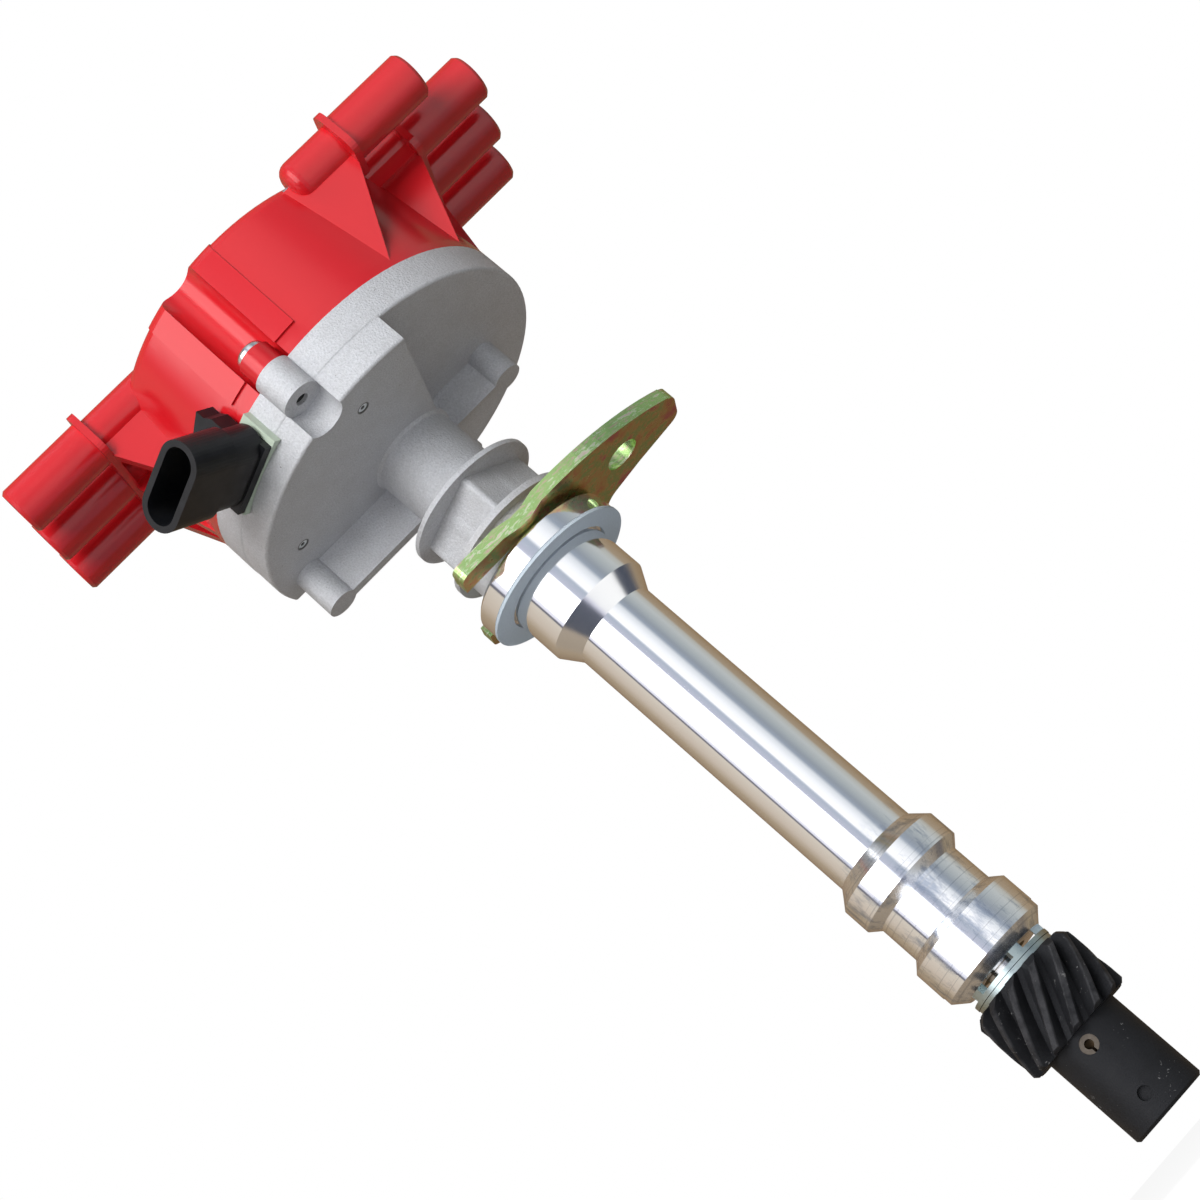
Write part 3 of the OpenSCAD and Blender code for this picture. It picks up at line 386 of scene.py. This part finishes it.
# Main shaft, with what is fixed to its top. A ground steel bar with the oil pump's slot cut across
# its end; the rotor's plate and the shutter wheel are steel stampings pressed on.

steel_dark, steel_pale = (0.40, 0.40, 0.41), (0.56, 0.56, 0.57)
ground_steel, tree, shader, place = surface("ground_steel", {"Metallic": 1.0, "Roughness": 0.24})
marks = turning(tree, height_of(tree, place), 4000, 2)
feed(tree, shader,
     Base_Color=blend(tree, speckle(tree, place, 300, 4), steel_dark, steel_pale),
     Normal=relief(tree, marks, 0.000006))
dress(ground_steel, "main_shaft", "rotor_plate", "shutter_wheel")


# Washers. Two zinc-plated washers take the gear's thrust; the upper one stands on tangs bent up
# against the housing's end.

zinc_dull, zinc_clear = (0.30, 0.37, 0.38), (0.50, 0.58, 0.58)
zinc, tree, shader, place = surface("washer_zinc", {"Metallic": 1.0})
dull = speckle(tree, place, 420, 4, 0.6)
feed(tree, shader,
     Base_Color=blend(tree, dull, zinc_dull, zinc_clear),
     Roughness=fade(tree, dull, 0.3, 0.7, 0.22, 0.42),
     Normal=relief(tree, speckle(tree, place, 900), 0.00003))
dress(zinc, "tanged_washer", "thrust_washer")


# Drive gear and roll pin. A hobbed helical steel gear with a long hub, black with phosphate and
# rubbed lighter on the crests; a split pin of spring steel goes through hub and shaft.

crest_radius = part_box("drive_gear")[1][0]
phosphate_dark, phosphate_pale = (0.007, 0.007, 0.008), (0.022, 0.023, 0.026)
crest_grey, chip_grey = (0.050, 0.050, 0.054), (0.20, 0.20, 0.20)
phosphate, tree, shader, place = surface("black_phosphate", {"Metallic": 0.2, "Specular IOR Level": 0.25})
reach = wire(tree, "ShaderNodeVectorMath", {0: in_plan(tree, place)}, operation="LENGTH")
cloud = speckle(tree, place, 190, 5, 0.62)
on_crests = fade(tree, reach.outputs["Value"], crest_radius - 0.00055, crest_radius - 0.00005)
rubbed = maths(tree, "MULTIPLY", on_crests, fade(tree, cloud, 0.40, 0.60))
chips = fade(tree, speckle(tree, place, 700, 3, 0.7), 0.64, 0.70)
chips = maths(tree, "MULTIPLY", chips, fade(tree, speckle(tree, place, 90, 2), 0.50, 0.60))
colour = blend(tree, cloud, phosphate_dark, phosphate_pale)
colour = blend(tree, rubbed, colour, crest_grey)
feed(tree, shader,
     Base_Color=blend(tree, chips, colour, chip_grey),
     Roughness=fade(tree, cloud, 0.3, 0.7, 0.50, 0.68),
     Normal=relief(tree, speckle(tree, place, 1500, 3), 0.00006))
dress(phosphate, "drive_gear")

oiled_dark, oiled_pale = (0.05, 0.042, 0.035), (0.13, 0.11, 0.09)
oiled_steel = two_toned("oiled_spring_steel", {"Metallic": 0.9, "Roughness": 0.42},
                        oiled_dark, oiled_pale, scale=700, detail=3)
dress(oiled_steel, "roll_pin")


# Mounting gasket. Pressed paper, stamped out as a ring. It lies on the collar's face, which
# clamps it to the engine's pad.

paper_dark, paper_pale = (0.52, 0.61, 0.70), (0.68, 0.77, 0.85)
gasket_paper, tree, shader, place = surface("gasket_paper", {"Roughness": 0.85, "Specular IOR Level": 0.2})
fibres = speckle(tree, stretched(tree, place, (1, 0.3, 1)), 2200, 4, 0.7)
feed(tree, shader,
     Base_Color=blend(tree, fibres, paper_dark, paper_pale),
     Normal=relief(tree, fibres, 0.00006))
dress(gasket_paper, "mounting_gasket")


# Hold-down clamp. A steel fork stamped from plate and bent a little over the collar, passivated
# yellow. The film's thickness sets its colour: pink, gold and green on the flats, greener on edges.

chromate, tree, shader, place = surface("yellow_chromate", {"Metallic": 0.95})
patches = speckle(tree, place, 95, 4, 0.62)
fine = speckle(tree, place, 420, 5, 0.65)
streaks = speckle(tree, stretched(tree, place, (1, 1, 5)), 170, 5, 0.75)
film = maths(tree, "ADD", patches, maths(tree, "MULTIPLY", maths(tree, "SUBTRACT", fine, 0.5), 0.25))
flat_film = steps(tree, film, [
    (0.33, (0.58, 0.16, 0.16)), (0.41, (0.60, 0.32, 0.13)), (0.49, (0.58, 0.44, 0.17)),
    (0.55, (0.33, 0.48, 0.17)), (0.60, (0.58, 0.43, 0.17)), (0.68, (0.60, 0.20, 0.20))])
edge_film = steps(tree, streaks, [
    (0.30, (0.58, 0.27, 0.28)), (0.38, (0.60, 0.50, 0.36)), (0.45, (0.40, 0.58, 0.23)),
    (0.53, (0.33, 0.54, 0.18)), (0.58, (0.66, 0.78, 0.50)), (0.66, (0.70, 0.50, 0.46))])
is_edge = fade(tree, maths(tree, "ABSOLUTE", facing_up(tree)), 0.62, 0.42)
feed(tree, shader,
     Base_Color=blend(tree, is_edge, flat_film, edge_film),
     Roughness=fade(tree, fine, 0.3, 0.7, 0.24, 0.42),
     Normal=relief(tree, fine, 0.00006))
dress(chromate, "hold_down_clamp")


# Pickup and its connector. The magnetic pickup is held to the bowl's floor by two screws whose
# points show from below. Its moulded connector, with three tinned brass pins, comes out through
# the wall, over a pale plate that seals the opening.

moulding_dark, moulding_pale = (0.005, 0.0055, 0.0065), (0.012, 0.013, 0.016)
black_moulding, tree, shader, place = surface("black_moulding", {"Specular IOR Level": 0.35})
mottle = speckle(tree, place, 260, 4)
feed(tree, shader,
     Base_Color=blend(tree, mottle, moulding_dark, moulding_pale),
     Roughness=fade(tree, mottle, 0.3, 0.7, 0.34, 0.46),
     Normal=relief(tree, speckle(tree, place, 2600), 0.00002))
dress(black_moulding, "sensor_connector", "hall_sensor")

plate_dark, plate_pale = (0.44, 0.53, 0.43), (0.55, 0.63, 0.52)
pale_seal, tree, shader, place = surface("pale_seal", {"Roughness": 0.55})
feed(tree, shader,
     Base_Color=blend(tree, speckle(tree, place, 300, 4), plate_dark, plate_pale),
     Normal=relief(tree, speckle(tree, place, 1200), 0.00003))
dress(pale_seal, "connector_seal")

brass_dark, brass_pale = (0.62, 0.50, 0.26), (0.80, 0.72, 0.50)
tinned_brass = two_toned("tinned_brass", {"Metallic": 1.0, "Roughness": 0.3},
                         brass_dark, brass_pale, scale=900)
dress(tinned_brass, "connector_pins")

screw_radius = 0.002
point_dark, plated, thread_grey = (0.06, 0.06, 0.06), (0.86, 0.90, 0.92), (0.30, 0.30, 0.30)
screw_zinc, tree, shader, place = surface("pickup_screw_zinc", {"Metallic": 0.5, "Roughness": 0.4})
from_axis = fade(tree, from_pickup_screws(tree, place), 0, screw_radius)
feed(tree, shader, Base_Color=steps(tree, from_axis, [
    (0.30, point_dark), (0.42, plated), (0.74, plated), (0.86, thread_grey)]))
dress(screw_zinc, "sensor_screws")


# Rotor. Black moulding like the pickup's, with a brass blade that carries the spark outwards, and
# two bright screws that hold it to its plate.

dress(black_moulding, "rotor")
dress(tinned_brass, "rotor_blade")
zinc_grey, zinc_white = (0.74, 0.76, 0.78), (0.92, 0.94, 0.96)
bright_zinc = two_toned("bright_zinc", {"Metallic": 1.0, "Roughness": 0.35},
                        zinc_grey, zinc_white, scale=800, detail=3)
dress(bright_zinc, "rotor_screws")


# Cap. Moulded in red thermoset, semi-gloss with a faint flow in the colour, round its aluminium
# terminals. A carbon button sits under the middle one, pressed down by a zinc-plated spring.

terminal_dark, terminal_pale = (0.55, 0.56, 0.57), (0.74, 0.75, 0.76)
terminal_metal = two_toned("terminal_metal", {"Metallic": 1.0, "Roughness": 0.35},
                           terminal_dark, terminal_pale, scale=1200, detail=3)
dress(terminal_metal, "plug_terminals", "coil_terminal")

carbon_dark, carbon_pale = (0.02, 0.02, 0.02), (0.06, 0.06, 0.06)
carbon = two_toned("carbon", {"Roughness": 0.6}, carbon_dark, carbon_pale, scale=2000)
dress(carbon, "carbon_button")
dress(bright_zinc, "button_spring")

red_dark, red_pale = (0.56, 0.009, 0.015), (0.66, 0.013, 0.020)
gloss = {"Specular IOR Level": 0.5, "Coat Weight": 0.2, "Coat Roughness": 0.2}
red_moulding, tree, shader, place = surface("red_moulding", gloss)
flow = speckle(tree, stretched(tree, place, (1, 1, 0.4)), 28, 4, 0.55)
feed(tree, shader,
     Base_Color=blend(tree, flow, red_dark, red_pale),
     Roughness=fade(tree, flow, 0.3, 0.7, 0.19, 0.25),
     Normal=relief(tree, speckle(tree, place, 700, 2), 0.000012))
dress(red_moulding, "distributor_cap")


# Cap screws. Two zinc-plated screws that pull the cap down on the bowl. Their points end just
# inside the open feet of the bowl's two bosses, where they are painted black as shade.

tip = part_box("cap_screws")[0][2]
# painted shade: the points' last millimetres, inside the bosses' feet, are painted black
tip_shade_from, tip_shade_fully = tip + 0.0031, tip + 0.0011
shank_grey, shank_pale, tip_shade_black = (0.66, 0.68, 0.70), (0.86, 0.88, 0.90), (0.05, 0.05, 0.05)
shaded_tip_zinc, tree, shader, place = surface("zinc_with_painted_shade_tip", {"Metallic": 1.0, "Roughness": 0.22})
plating = blend(tree, speckle(tree, place, 800, 3), shank_grey, shank_pale)
# the tip's painted shade, black towards the point
tip_shade = fade(tree, height_of(tree, place), tip_shade_from, tip_shade_fully)
feed(tree, shader, Base_Color=blend(tree, tip_shade, plating, tip_shade_black))
dress(shaded_tip_zinc, "cap_screws")
